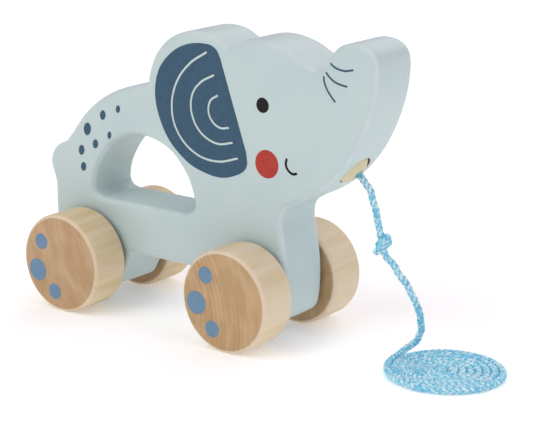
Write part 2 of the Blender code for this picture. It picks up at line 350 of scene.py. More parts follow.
def carried_frames(line):
    """Two directions square to the line at each point, carried along it without twisting."""
    tangents = unit(np.gradient(line, axis=0))
    side = np.cross(tangents[0], (0.0, 1.0, 0.3))
    sides = []
    for tangent in tangents:
        side = side - tangent * np.dot(side, tangent)
        side = side / np.linalg.norm(side)
        sides.append(side)
    sides = np.array(sides)
    return sides, np.cross(tangents, sides)


# ---------------------------------------------------------------- meshes

def finish_mesh(name, mesh, material, body, slot, sharp_angle=35.0):
    """Shade a mesh, give it its material and let it ride on a body."""
    mesh.shade_smooth()
    mesh.set_sharp_from_angle(angle=math.radians(sharp_angle))
    if not mesh.materials:
        mesh.materials.append(material)
    piece = link_object(name, mesh)
    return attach(piece, body)


def to_mesh(name, bm):
    """Turn a bmesh into a mesh whose faces point out."""
    bmesh.ops.recalc_face_normals(bm, faces=bm.faces)
    mesh = bpy.data.meshes.new(name)
    bm.to_mesh(mesh)
    bm.free()
    return mesh


def turned_mesh(profile, sides):
    """Turn a profile of (radius, height) points about Z. A radius of 0 is a pole."""
    bm = bmesh.new()
    rings = []
    for radius, height in profile:
        if radius == 0:
            rings.append([bm.verts.new((0, 0, height))] * sides)
            continue
        angles = [2 * math.pi * side / sides for side in range(sides)]
        rings.append([bm.verts.new((radius * math.cos(a), radius * math.sin(a), height))
                      for a in angles])
    closed = profile[0][0] != 0
    pairs = zip(rings, rings[1:] + rings[:1]) if closed else zip(rings, rings[1:])
    for near, far in pairs:
        for side in range(sides):
            after = (side + 1) % sides
            corners = [near[side], near[after], far[after], far[side]]
            bm.faces.new(list(dict.fromkeys(corners)))
    return bm


def place(bm, origin, direction):
    """Move a mesh made about Z so that its Z axis runs along the direction from origin."""
    turn = direction.to_track_quat("Z", "Y").to_matrix().to_4x4()
    bm.transform(Matrix.Translation(origin) @ turn)
    return bm


def arc_points(centre, radius, start, end, steps):
    """Points on an arc in the profile's plane; angles in degrees from +radius to +height."""
    angles = [math.radians(start + (end - start) * step / steps) for step in range(steps + 1)]
    return [(centre[0] + radius * math.cos(a), centre[1] + radius * math.sin(a)) for a in angles]


def mark_grain(mesh, pith, fibre):
    """Store each point's place in the log, in millimetres, and how squarely it faces the fibres.

    X points from the pith to the middle of the piece, and Z along the fibres.
    """
    points = np.array([vert.co for vert in mesh.vertices])
    outward = Vector(points.mean(axis=0)) - pith
    outward = (outward - fibre * outward.dot(fibre)).normalized()
    axes = np.array((outward, fibre.cross(outward), fibre)).T
    in_log = (points - np.array(pith)) @ axes / MM
    facing = np.abs(np.array([vert.normal for vert in mesh.vertices]) @ np.array(fibre))
    grain = mesh.attributes.new("grain", "FLOAT_VECTOR", "POINT")
    grain.data.foreach_set("vector", in_log.astype(np.float32).ravel())
    end = mesh.attributes.new("facing", "FLOAT", "POINT")
    end.data.foreach_set("value", facing.astype(np.float32))
    return mesh


# ---------------------------------------------------------------- materials

class Shader:
    """A material's node tree and short calls for the nodes that the materials share."""

    def __init__(self, name, **fixed):
        self.material = bpy.data.materials.new(name)
        self.material.use_nodes = True
        self.tree = self.material.node_tree
        self.surface = self.tree.nodes["Principled BSDF"]
        for socket, value in fixed.items():
            self.surface.inputs[socket.replace("_", " ")].default_value = value

    def node(self, kind, inputs=(), **settings):
        made = self.tree.nodes.new("ShaderNode" + kind)
        for name, value in settings.items():
            setattr(made, name, value)
        for key, value in dict(inputs).items():
            self.feed(made.inputs[key], value)
        return made

    def feed(self, socket, value):
        if isinstance(value, bpy.types.NodeSocket):
            self.tree.links.new(value, socket)
        else:
            socket.default_value = value

    def place(self):
        return self.node("TexCoord").outputs["Object"]

    def attribute(self, name, output="Fac"):
        return self.node("Attribute", attribute_name=name).outputs[output]

    def scaled(self, vector, factors, offset=(0, 0, 0)):
        moved = self.node("Mapping", {"Vector": vector, "Scale": factors, "Location": offset})
        return moved.outputs["Vector"]

    def noise(self, vector, scale=1.0, detail=2.0, roughness=0.5):
        inputs = {"Vector": vector, "Scale": scale, "Detail": detail, "Roughness": roughness}
        return self.node("TexNoise", inputs).outputs["Fac"]

    def maths(self, operation, first, second=0.0):
        return self.node("Math", {0: first, 1: second}, operation=operation).outputs[0]

    def spread(self, value, low, high, to_low=0.0, to_high=1.0):
        """Map low..high to to_low..to_high smoothly, clamped outside."""
        inputs = {"Value": value, "From Min": low, "From Max": high,
                  "To Min": to_low, "To Max": to_high}
        return self.node("MapRange", inputs, interpolation_type="SMOOTHSTEP").outputs["Result"]

    def blend(self, factor, first, second):
        inputs = {0: factor, 6: colour(first), 7: colour(second)}
        return self.node("Mix", inputs, data_type="RGBA").outputs[2]

    def darken(self, factor, base, amount):
        """Multiply base by the amount where the factor is 1."""
        inputs = {0: factor, 6: base, 7: (amount, amount, amount, 1.0)}
        return self.node("Mix", inputs, data_type="RGBA", blend_type="MULTIPLY").outputs[2]

    def bump(self, height, distance, strength=1.0):
        inputs = {"Height": height, "Distance": distance, "Strength": strength}
        return self.node("Bump", inputs).outputs["Normal"]

    def done(self, base, roughness, normal=None):
        self.feed(self.surface.inputs["Base Color"], base)
        self.feed(self.surface.inputs["Roughness"], roughness)
        if normal is not None:
            self.feed(self.surface.inputs["Normal"], normal)
        return self.material


def colour(value):
    """A socket as it is, or an sRGB triple of 0 to 255 as a linear colour."""
    if isinstance(value, bpy.types.NodeSocket):
        return value
    shares = [channel / 255 for channel in value]
    linear = [s / 12.92 if s <= 0.04045 else ((s + 0.055) / 1.055) ** 2.4 for s in shares]
    return (*linear, 1.0)


def paint_material():
    """Satin paint over sanded wood: faint fibres and brush texture, and a painted highlight,
    patchy like thin paint, on the rounded edges.
    """
    kit = Shader("body_paint", Specular_IOR_Level=0.42, Coat_Weight=0.08, Coat_Roughness=0.3)
    here = kit.place()
    cloud = kit.noise(kit.scaled(here, (26, 26, 26)), detail=3.0)
    fibres = kit.noise(kit.scaled(here, (38, 420, 420)), detail=4.0, roughness=0.6)
    peel = kit.noise(here, scale=950.0, detail=2.0)
    depth = kit.maths("ABSOLUTE", kit.node("SeparateXYZ", {0: here}).outputs["Y"])
    rising = kit.spread(depth, BODY_HALF - EDGE_RADIUS, BODY_HALF - 0.45 * EDGE_RADIUS)
    falling = kit.spread(depth, BODY_HALF - 0.5 * EDGE_RADIUS, BODY_HALF, 1.0, 0.0)
    edge = kit.maths("MULTIPLY", rising, falling)
    # Painted highlight: in patches, the rounded edges blend towards a pale tone, standing in for
    # light caught on the rounding.
    patchy = kit.spread(kit.noise(here, scale=120.0, detail=4.0), 0.38, 0.62, 0.35, 0.75)
    edge_highlight = kit.maths("MULTIPLY", edge, patchy)
    base = kit.blend(kit.spread(cloud, 0.3, 0.7), (186, 204, 205), (192, 209, 208))
    base = kit.darken(kit.spread(fibres, 0.55, 0.8, 0.0, 0.5), base, 0.955)
    base = kit.blend(edge_highlight, base, (212, 222, 225))
    rough = kit.spread(kit.noise(here, scale=300.0, detail=3.0), 0.3, 0.7, 0.40, 0.52)
    height = kit.maths("ADD", peel, kit.maths("MULTIPLY", fibres, 1.6))
    return kit.done(base, rough, kit.bump(height, 0.05 * MM, 0.35))


def wood_material(name, side_light, side_dark, pale_tone_and_edge_highlight, end_light, end_dark, ring_contrast):
    """Solid wood: growth rings about the log's pith, fine fibres, pores and broad bands.

    A side runs along the fibres and an end is cut across them. On the rounded edges between them,
    the colour turns towards a pale tone as a painted highlight; broad bands of the same pale tone
    also run at random over the sides.
    """
    kit = Shader(name, Specular_IOR_Level=0.35)
    x, y, z = kit.node("SeparateXYZ", {0: kit.attribute("grain", "Vector")}).outputs
    facing = kit.attribute("facing")
    squares = [kit.maths("MULTIPLY", axis, axis) for axis in (x, y)]
    radius = kit.maths("SQRT", kit.maths("ADD", *squares))
    arc = kit.maths("MULTIPLY", kit.maths("ARCTAN2", y, x), ARC_SCALE)
    polar = kit.node("CombineXYZ", {"X": radius, "Y": arc, "Z": z}).outputs[0]
    drift = kit.noise(kit.scaled(polar, (0.04, 0.016, 0.01)), detail=2.0)
    uneven = kit.noise(kit.scaled(polar, (0.23, 0.0, 0.0)), detail=1.0)
    phase = kit.maths("MULTIPLY", radius, 0.42)
    phase = kit.maths("ADD", phase, kit.maths("MULTIPLY", uneven, 2.6))
    phase = kit.maths("ADD", phase, kit.maths("MULTIPLY", drift, 1.3))
    saw = kit.maths("FRACT", phase)
    late = kit.maths("MULTIPLY", kit.spread(saw, 0.55, 0.90), kit.spread(saw, 0.92, 1.0, 1.0, 0.0))
    strength = kit.noise(kit.scaled(polar, (0.11, 0.03, 0.02)))
    strength = kit.spread(strength, 0.40, 0.68, 0.06, 1.0)
    rings = kit.maths("MULTIPLY", kit.maths("MULTIPLY", late, strength), ring_contrast)
    fibres = kit.noise(kit.scaled(polar, (2.4, 0.30, 0.05)), detail=3.0, roughness=0.6)
    bands = kit.noise(kit.scaled(polar, (0.16, 0.10, 0.012)), detail=2.0)
    broad = kit.noise(kit.scaled(polar, (0.30, 0.34, 0.03), (31, 7, 2)), detail=1.0)
    pores = kit.spread(kit.noise(kit.scaled(polar, (6.0, 4.5, 0.7)), detail=1.0), 0.69, 0.78)
    side = kit.blend(kit.spread(bands, 0.34, 0.66), side_light, side_dark)
    side = kit.blend(kit.spread(broad, 0.44, 0.66, 0.0, 0.5), side, pale_tone_and_edge_highlight)
    end = kit.blend(kit.spread(bands, 0.34, 0.66), end_light, end_dark)
    # Painted highlight: where the surface turns from side to end, on the rounded edges, the side
    # colour moves towards the pale tone.
    side = kit.blend(kit.spread(facing, 0.05, 0.75, 0.0, 0.6), side, pale_tone_and_edge_highlight)
    is_end = kit.spread(facing, 0.84, 0.99)
    base = kit.blend(is_end, side, end)
    shown = kit.maths("MULTIPLY", rings, kit.spread(is_end, 0.0, 1.0, 0.14, 1.0))
    base = kit.blend(kit.maths("MULTIPLY", shown, 0.40), base, LATE_WOOD)
    base = kit.darken(kit.spread(fibres, 0.46, 0.74, 0.0, 0.45), base, 0.90)
    base = kit.darken(kit.maths("MULTIPLY", pores, 0.35), base, 0.75)
    rough = kit.spread(fibres, 0.3, 0.7, 0.46, 0.60)
    hollows = kit.maths("ADD", pores, shown)
    height = kit.maths("SUBTRACT", kit.maths("MULTIPLY", fibres, 0.5), hollows)
    return kit.done(base, rough, kit.bump(height, 0.03 * MM, 0.4))


def ink_material(name, dark, light, gloss=0.3):
    """Pad-printed ink: nearly even, with a fine mottled film."""
    kit = Shader(name, Specular_IOR_Level=gloss)
    here = kit.place()
    mottle = kit.noise(here, scale=420.0, detail=4.0, roughness=0.6)
    speck = kit.noise(here, scale=2200.0, detail=1.0)
    base = kit.blend(kit.spread(mottle, 0.3, 0.7), dark, light)
    base = kit.darken(kit.spread(speck, 0.6, 0.8, 0.0, 0.5), base, 0.92)
    rough = kit.spread(mottle, 0.3, 0.7, 0.42, 0.55)
    return kit.done(base, rough, kit.bump(speck, 0.02 * MM, 0.3))


def cord_material():
    """Braided strands of shiny filaments: pale filament flecks with a painted highlight where the
    strands stand out, and painted shade in deeper blue where they dip under others and along each
    strand's edges.
    """
    kit = Shader("cord", Specular_IOR_Level=0.35, Sheen_Weight=0.2, Sheen_Roughness=0.4,
                 Subsurface_Weight=0.3, Subsurface_Scale=1.2 * MM,
                 Subsurface_Radius=(0.3, 0.8, 1.0))
    weave = kit.attribute("weave", "Vector")
    across = kit.maths("ABSOLUTE", kit.node("SeparateXYZ", {0: weave}).outputs["Y"])
    filaments = kit.noise(kit.scaled(weave, (0.8, 4.5, 7.3)), detail=3.0, roughness=0.65)
    tone = kit.noise(kit.scaled(weave, (0.30, 0.25, 3.7)), detail=2.0)
    fleck = kit.noise(kit.scaled(weave, (0.42, 0.0, 5.1), (3, 0, 11)), detail=1.0)
    raised = kit.spread(kit.attribute("lift"), -0.7, 0.7)
    base = kit.blend(kit.spread(tone, 0.38, 0.62), (80, 188, 227), (122, 214, 241))
    # Pale filament flecks, made strongest on the raised parts of the strands as a painted
    # highlight.
    pale = kit.spread(filaments, 0.36, 0.56)
    pale = kit.maths("MULTIPLY", pale, kit.spread(raised, 0.0, 1.0, 0.05, 0.9))
    pale = kit.maths("MULTIPLY", pale, kit.spread(fleck, 0.40, 0.56, 0.18, 1.0))
    base = kit.blend(pale, base, (234, 252, 255))
    # Painted shade: deeper blue where a strand dips under the others.
    base = kit.blend(kit.spread(raised, 0.0, 0.6, 0.65, 0.0), base, (58, 174, 222))
    # Painted shade: deeper blue along each strand's edges, in the gaps between strands.
    base = kit.blend(kit.spread(across, 0.66, 1.0, 0.0, 0.9), base, (48, 164, 218))
    rough = kit.spread(filaments, 0.3, 0.7, 0.42, 0.62)
    return kit.done(base, rough, kit.bump(filaments, 0.06 * MM, 0.8))


def floor_material():
    """A white table lit softly from below, which keeps the shadows faint."""
    kit = Shader("studio_floor", Specular_IOR_Level=0.1, Emission_Color=(1.0, 1.0, 1.0, 1.0),
                 Emission_Strength=FLOOR_GLOW)
    faint = kit.noise(kit.place(), scale=9.0, detail=2.0)
    base = kit.blend(kit.spread(faint, 0.3, 0.7), (243, 243, 243), (245, 245, 245))
    return kit.done(base, 0.9)


# ---------------------------------------------------------------- cord

def strand_mesh(name, line, scale):
    """Eight strands, each over two and under two of the others, round an evenly spaced line.

    Four wind one way and four the other, and lift says how far out a strand is, from -1 to 1.
    """
    radius = CORD_RADIUS * scale
    sides, others = carried_frames(line)
    travelled = np.arange(len(line)) * BRAID_STEP
    turn = 2 * np.pi * travelled / BRAID_PITCH
    vertices, faces, weave, lifts = [], [], [], []
    for strand in range(STRANDS):
        hand = 1 if strand % 2 == 0 else -1
        place_round = strand // 2
        angle = hand * turn + place_round * np.pi / 2
        outward = np.cos(angle)[:, None] * sides + np.sin(angle)[:, None] * others
        lift = np.cos(2 * turn - np.pi / 2 + hand * np.pi / 4 + place_round * np.pi)
        reach = radius * (STRAND_RING + STRAND_WEAVE * lift)
        centre = line + outward * reach[:, None]
        along = unit(np.gradient(centre, axis=0))
        outward = unit(outward - along * np.sum(outward * along, axis=1, keepdims=True))
        flat = np.cross(along, outward)
        first = strand * len(line) * STRAND_SIDES
        rounds = 2 * np.pi * np.arange(STRAND_SIDES) / STRAND_SIDES
        widths = radius * STRAND_HALF_WIDTH * np.cos(rounds)
        heights = radius * STRAND_HALF_THICKNESS * np.sin(rounds)
        ring = (centre[:, None] + flat[:, None] * widths[:, None]
                + outward[:, None] * heights[:, None])
        vertices.append(ring.reshape(-1, 3))
        strand_weave = np.zeros((len(line), STRAND_SIDES, 3))
        strand_weave[:, :, 0] = travelled[:, None] / MM
        strand_weave[:, :, 1] = np.cos(rounds)
        strand_weave[:, :, 2] = strand
        weave.append(strand_weave.reshape(-1, 3))
        lifts.append(np.repeat(lift, STRAND_SIDES))
        here = first + np.arange(len(line) - 1)[:, None] * STRAND_SIDES
        corner = np.arange(STRAND_SIDES)[None, :]
        after = (corner + 1) % STRAND_SIDES
        quads = np.stack([here + corner, here + after, here + after + STRAND_SIDES,
                          here + corner + STRAND_SIDES], axis=-1)
        faces += quads.reshape(-1, 4).tolist()
        last = first + (len(line) - 1) * STRAND_SIDES
        faces.append(list(range(first, first + STRAND_SIDES))[::-1])
        faces.append(list(range(last, last + STRAND_SIDES)))
    mesh = bpy.data.meshes.new(name)
    mesh.from_pydata(np.concatenate(vertices).tolist(), [], faces)
    bm = bmesh.new()
    bm.from_mesh(mesh)
    bmesh.ops.recalc_face_normals(bm, faces=bm.faces)
    bm.to_mesh(mesh)
    bm.free()
    stored = mesh.attributes.new("weave", "FLOAT_VECTOR", "POINT")
    stored.data.foreach_set("vector", np.concatenate(weave).astype(np.float32).ravel())
    raised = mesh.attributes.new("lift", "FLOAT", "POINT")
    raised.data.foreach_set("value", np.concatenate(lifts).astype(np.float32))
    return mesh


def spiral_points():
    """The coil's turns, wound inwards and slightly uneven, as a cord laid down by hand."""
    turns = (COIL_START_RADIUS - COIL_END_RADIUS) / COIL_TURN_GAP
    count = int(turns * COIL_POINTS_PER_TURN)
    points = []
    for index in range(count + 1):
        share = index / count
        angle = COIL_START_ANGLE + 2 * math.pi * turns * share
        radius = COIL_START_RADIUS + (COIL_END_RADIUS - COIL_START_RADIUS) * share
        radius += COIL_FLARE * math.exp(-index / COIL_FLARE_POINTS)
        radius += COIL_WOBBLE * math.sin(COIL_WOBBLES_PER_TURN * angle)
        centre = COIL_OUTER_CENTRE.lerp(COIL_INNER_CENTRE, share)
        x = centre.x + radius * math.cos(angle)
        y = centre.y + radius * math.sin(angle) * COIL_DEPTH_SCALE
        points.append(Vector((x, y, COIL_HEIGHT)))
    return points


def loosened(line):
    """The line with small sideways waves where it hangs."""
    sides, others = carried_frames(line)
    travelled = np.arange(len(line)) * BRAID_STEP
    hidden = PLUG_LENGTH + PLUG_DOME_HEIGHT + ANCHOR_KNOT_DEPTH
    hanging = np.clip((line[:, 2] - WAVE_LOWEST) / WAVE_FADE, 0, 1)
    hanging *= np.clip((travelled - hidden) / WAVE_FADE, 0, 1)
    turn = 2 * np.pi * travelled / WAVE_LENGTH
    waves = sides * np.sin(turn)[:, None] + others * np.cos(0.77 * turn)[:, None]
    return evenly_spaced(line + waves * (WAVE_HEIGHT * hanging)[:, None], BRAID_STEP)


def cord_line():
    """The whole cord's centreline, from the knot behind the plug to the middle of the coil."""
    knots = [PLUG_BACK - PLUG_AXIS * ANCHOR_KNOT_DEPTH, PLUG_BACK, PLUG_BACK.lerp(PLUG_TOP, 0.5),
             PLUG_TOP]
    knots += [Vector(point) * MM for point in UPPER_ROUTE]
    knots.append(KNOT_CENTRE)
    knots += [Vector(point) * MM for point in LOWER_ROUTE]
    knots += spiral_points()
    return loosened(evenly_spaced(smooth_curve(knots, BRAID_STEP), BRAID_STEP))


def knot_line(centre, axis, start_angle):
    """A knot pulled tight: the cord wraps round the straight cord on a slant, ends tucked in."""
    along = axis.normalized()
    side = along.cross(ACROSS).normalized()
    other = along.cross(side)
    points = []
    for index in range(KNOT_POINTS + 1):
        share = index / KNOT_POINTS
        angle = start_angle + 2 * math.pi * KNOT_TURNS * share
        tuck = min(1.0, 7 * share, 7 * (1 - share))
        radius = KNOT_WRAP_RADIUS * (0.35 + 0.65 * tuck)
        height = KNOT_RISE * (share - 0.5) - KNOT_SLANT * math.cos(angle + KNOT_SLANT_TURN)
        points.append(centre + along * height
                      + (side * math.cos(angle) + other * math.sin(angle)) * radius)
    return evenly_spaced(smooth_curve(points, BRAID_STEP), BRAID_STEP)


def braid_piece(name, line, scale, material, *nodes):
    """A braid along the line that replaces the CAD nodes."""
    piece = finish_mesh(name, strand_mesh(name, line, scale), material, TOY_BODY, "cord",
                        CORD_SHARP_ANGLE)
    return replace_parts(piece, *nodes)


def make_cord(material):
    line = cord_line()
    cord = braid_piece("pull_cord", line, 1.0, material, "upper_cord", "lower_cord", "cord_coil")
    below = (Vector(LOWER_ROUTE[0]) - Vector(UPPER_ROUTE[-1])) * MM
    tied = knot_line(KNOT_CENTRE, below, 2.6)
    knot = braid_piece("tied_knot", tied, KNOT_CORD_SCALE, material, "cord_knot")
    hidden = knot_line(PLUG_BACK - PLUG_AXIS * ANCHOR_KNOT_DEPTH, -PLUG_AXIS, 0.4)
    anchor = braid_piece("stopper_knot", hidden, KNOT_CORD_SCALE, material, "anchor_knot")


# ---------------------------------------------------------------- body

def inset_ring(ring, distance):
    """Move every point of a clockwise ring to its right, and draw together any that cross."""
    moved = []
    for index, point in enumerate(ring):
        incoming = (point - ring[index - 1]).normalized()
        outgoing = (ring[(index + 1) % len(ring)] - point).normalized()
        right_in = Vector((incoming.y, -incoming.x))
        right_out = Vector((outgoing.y, -outgoing.x))
        bisector = (right_in + right_out).normalized()
        moved.append(point + bisector * distance / bisector.dot(right_in))
    for _ in range(UNCROSS_PASSES):
        for index in range(len(moved)):
            after = (index + 1) % len(moved)
            if (moved[after] - moved[index]).dot(ring[after] - ring[index]) < 0:
                middle = (moved[after] + moved[index]) / 2
                moved[index] = middle.copy()
                moved[after] = middle.copy()
    return moved


def wall_sections(edge):
    """Inset and Y of each ring across the body's thickness, from one face to the other."""
    quarter = []
    for step in range(EDGE_STEPS + 1):
        turn = math.pi / 2 * step / EDGE_STEPS
        inset = edge * (1 - math.sin(turn))
        depth = BODY_HALF - edge * (1 - math.cos(turn))
        quarter.append((inset, depth))
    quarter.insert(0, (edge + FACE_MARGIN, BODY_HALF))
    return [(inset, -depth) for inset, depth in quarter] + quarter[::-1]


def loft_wall(bm, outline, edge, side):
    """A wall with rounded edges along the outline. Returns its first and last ring."""
    rings = []
    for inset, y in wall_sections(edge):
        placed = inset_ring(outline, side * inset)
        rings.append([bm.verts.new((point.x, y, point.y)) for point in placed])
    for near, far in zip(rings, rings[1:]):
        for index in range(len(near)):
            after = (index + 1) % len(near)
            bm.faces.new((near[index], near[after], far[after], far[index]))
    return rings[0], rings[-1]


def body_shape():
    """The board with its handle opening, as one closed bmesh."""
    bm = bmesh.new()
    outer = loft_wall(bm, closed_outline(BODY_OUTLINE, OUTLINE_SPACING), EDGE_RADIUS, 1)
    inner = loft_wall(bm, closed_outline(HANDLE_OUTLINE, OUTLINE_SPACING), HANDLE_EDGE_RADIUS, -1)
    for rim, opening in zip(outer, inner):
        corners = rim + opening
        for triangle in tessellate_polygon([[v.co for v in rim], [v.co for v in opening]]):
            bm.faces.new([corners[index] for index in triangle])
    bmesh.ops.remove_doubles(bm, verts=bm.verts, dist=WELD_DISTANCE)
    bmesh.ops.dissolve_degenerate(bm, dist=WELD_DISTANCE, edges=bm.edges)
    return bm


def rod_profile(radius, low, high, chamfer):
    """A rod with chamfered ends, for turned_mesh."""
    return [(0, low), (radius - chamfer, low), (radius, low + chamfer),
            (radius, high - chamfer), (radius - chamfer, high), (0, high)]


def carve(mesh, bores, bare):
    """Cut the bores out of a mesh. Their walls are bare wood."""
    block = link_object("block", mesh)
    cutters = []
    for bm in bores:
        tool_mesh = to_mesh("bore", bm)
        tool_mesh.materials.append(bare)
        tool = link_object("bore", tool_mesh)
        modifier = block.modifiers.new("bore", "BOOLEAN")
        modifier.operation = "DIFFERENCE"
        modifier.solver = "EXACT"
        modifier.material_mode = "TRANSFER"
        modifier.object = tool
        cutters.append(tool)
    graph = bpy.context.evaluated_depsgraph_get()
    carved = bpy.data.meshes.new_from_object(block.evaluated_get(graph))
    for spent in (block, *cutters):
        bpy.data.objects.remove(spent)
    return carved


def make_body(paint, bare):
    mesh = to_mesh("painted_body", body_shape())
    mesh.materials.append(paint)
    bores = []
    for axle in ("front_axle", "rear_axle"):
        low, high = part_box(axle)
        radius = (high.x - low.x) / 2 + AXLE_CLEARANCE
        bore = rod_profile(radius, -2 * BODY_HALF, 2 * BODY_HALF, BORE_CHAMFER)
        bores.append(place(turned_mesh(bore, AXLE_SIDES), (low + high) / 2, ACROSS))
    pocket = rod_profile(PLUG_BORE_RADIUS, -PLUG_BORE_DEPTH, PLUG_LENGTH, BORE_CHAMFER)
    bores.append(place(turned_mesh(pocket, PLUG_SIDES), PLUG_RIM_CENTRE, PLUG_AXIS))
    carved = carve(mesh, bores, bare)
    mark_grain(carved, BODY_PITH, BODY_FIBRE)
    body = finish_mesh("painted_body", carved, paint, TOY_BODY, "body_paint")
    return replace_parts(body, "body")


# ---------------------------------------------------------------- wooden parts

def wheel_profile(radius, width, socket_radius, socket_depth):
    """From the socket's bottom out over the inner face, the tread and the outer face."""
    edge = WHEEL_EDGE_RADIUS
    rim = radius - edge
    profile = [(0, socket_depth), (socket_radius, socket_depth), (socket_radius, SOCKET_ROUNDING),
               (socket_radius + SOCKET_ROUNDING, 0), (rim - FACE_MARGIN, 0)]
    profile += arc_points((rim, edge), edge, -90, 0, WHEEL_EDGE_STEPS)
    profile += arc_points((rim, width - edge), edge, 0, 90, WHEEL_EDGE_STEPS)
    profile += [(rim - FACE_MARGIN, width), (0, width)]
    return profile


def make_wheelset(end, piths, wood):
    """An axle and its two wheels. The piths, from the axle's middle, differ for each wheel."""
    body = end + "_wheelset"
    low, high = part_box(end + "_axle")
    middle = (low + high) / 2
    axle_radius = (high.x - low.x) / 2
    rod_name = end + "_axle_rod"
    rod_shape = turned_mesh(rod_profile(axle_radius, low.y, high.y, AXLE_CHAMFER), AXLE_SIDES)
    rod_mesh = to_mesh(rod_name, place(rod_shape, middle, ACROSS))
    mark_grain(rod_mesh, middle + AXLE_PITH, ACROSS)
    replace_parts(finish_mesh(rod_name, rod_mesh, wood, body, "beech"), end + "_axle")
    for (side_name, side), pith in zip(SIDES, piths):
        node = end + "_" + side_name + "_wheel"
        wheel_low, wheel_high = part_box(node)
        inner_face = min(abs(wheel_low.y), abs(wheel_high.y))
        profile = wheel_profile((wheel_high.z - wheel_low.z) / 2, wheel_high.y - wheel_low.y,
                                axle_radius + SOCKET_CLEARANCE,
                                high.y + SOCKET_END_GAP - inner_face)
        hub = Vector((middle.x, side * inner_face, middle.z))
        shape = place(turned_mesh(profile, WHEEL_SIDES), hub, side * ACROSS)
        mesh = mark_grain(to_mesh(node, shape), middle + Vector(pith) * MM, ACROSS)
        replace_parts(finish_mesh("turned_" + node, mesh, wood, body, "beech"), node)


def plug_profile():
    """From the cord hole's back over the back face and up over the dome into the hole."""
    sphere = (PLUG_RADIUS ** 2 + PLUG_DOME_HEIGHT ** 2) / (2 * PLUG_DOME_HEIGHT)
    floor = sphere - PLUG_DOME_HEIGHT
    edge = PLUG_RADIUS - PLUG_CHAMFER
    profile = [(CORD_HOLE_RADIUS, -PLUG_LENGTH), (edge, -PLUG_LENGTH),
               (PLUG_RADIUS, PLUG_CHAMFER - PLUG_LENGTH), (PLUG_RADIUS, -PLUG_RIM_BAND)]
    inner = CORD_HOLE_RADIUS + CORD_HOLE_ROUNDING
    for step in range(PLUG_DOME_STEPS + 1):
        radius = PLUG_RADIUS + (inner - PLUG_RADIUS) * step / PLUG_DOME_STEPS
        profile.append((radius, math.sqrt(sphere ** 2 - radius ** 2) - floor))
    corner = (inner, profile[-1][1] - CORD_HOLE_ROUNDING)
    return profile + arc_points(corner, CORD_HOLE_ROUNDING, 90, 180, 4)[1:]


def make_plug(wood):
    shape = place(turned_mesh(plug_profile(), PLUG_SIDES), PLUG_RIM_CENTRE, PLUG_AXIS)
    mesh = to_mesh("domed_plug", shape)
    mark_grain(mesh, PLUG_RIM_CENTRE + PLUG_PITH, PLUG_FIBRE)
    plug = finish_mesh("domed_plug", mesh, wood, TOY_BODY, "plug_wood")
    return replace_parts(plug, "cord_plug")


# ---------------------------------------------------------------- prints

def disc_patch(centre, semi_x, semi_z, lean=0.0, points=40, rings=1):
    """A filled ellipse as 2D points and faces. Its top leans towards +X.

    More rings let it bend over a rounded surface.
    """
    placed = []
    for ring in range(1, rings + 1):
        for index in range(points):
            angle = 2 * math.pi * index / points
            x = semi_x * ring / rings * math.cos(angle)
            z = semi_z * ring / rings * math.sin(angle)
            placed.append(Vector((centre[0] + x * math.cos(lean) + z * math.sin(lean),
                                  centre[1] + z * math.cos(lean) - x * math.sin(lean))) * MM)
    faces = [tuple(range(points))]
    for ring in range(rings - 1):
        for index in range(points):
            near = ring * points + index
            after = ring * points + (index + 1) % points
            faces.append((near, near + points, after + points, after))
    return placed, faces


def stroke_patch(knots, width):
    """A line of even width with round ends, as 2D points and faces."""
    line = smooth_curve([Vector(knot) for knot in knots], PRINT_SPACING)
    half = width / 2
    points, faces = [], []
    for index, point in enumerate(line):
        heading = (line[min(index + 1, len(line) - 1)] - line[max(index - 1, 0)]).normalized()
        left = Vector((-heading.y, heading.x)) * half
        points += [point + left, point - left]
        if index:
            faces.append((2 * index - 2, 2 * index - 1, 2 * index + 1, 2 * index))
    for end, corners in ((line[0], (0, 1)), (line[-1], (len(points) - 1, len(points) - 2))):
        arm = points[corners[0]] - end
        fan = [corners[0]]
        for step in range(1, STROKE_END_STEPS):
            spin = math.pi * step / STROKE_END_STEPS
            fan.append(len(points))
            points.append(end + Vector((arm.x * math.cos(spin) - arm.y * math.sin(spin),
                                        arm.x * math.sin(spin) + arm.y * math.cos(spin))))
        fan.append(corners[1])
        faces.append(tuple(fan))
    return [point * MM for point in points], faces


def outline_patch(stretches):
    """A filled outline as 2D points and one face."""
    ring = closed_outline(stretches, PRINT_SPACING * MM)
    return ring, [tuple(range(len(ring)))]


def slab_mesh(name, patches, height_at, side, lift):
    """Thin closed films: each patch's points laid on the surface, with walls along its border."""
    bm = bmesh.new()
    for points, faces in patches:
        heights = [height_at(point) for point in points]
        top, bottom = [[bm.verts.new((point.x, side * (height + offset), point.y))
                        for point, height in zip(points, heights)]
                       for offset in (lift, -PRINT_SINK)]
        border = {}
        for face in faces:
            bm.faces.new([top[index] for index in face])
            bm.faces.new([bottom[index] for index in reversed(face)])
            for start, end in zip(face, face[1:] + face[:1]):
                key = frozenset((start, end))
                border[key] = None if key in border else (start, end)
        for start, end in filter(None, border.values()):
            bm.faces.new((top[end], top[start], bottom[start], bottom[end]))
    return to_mesh(name, bm)


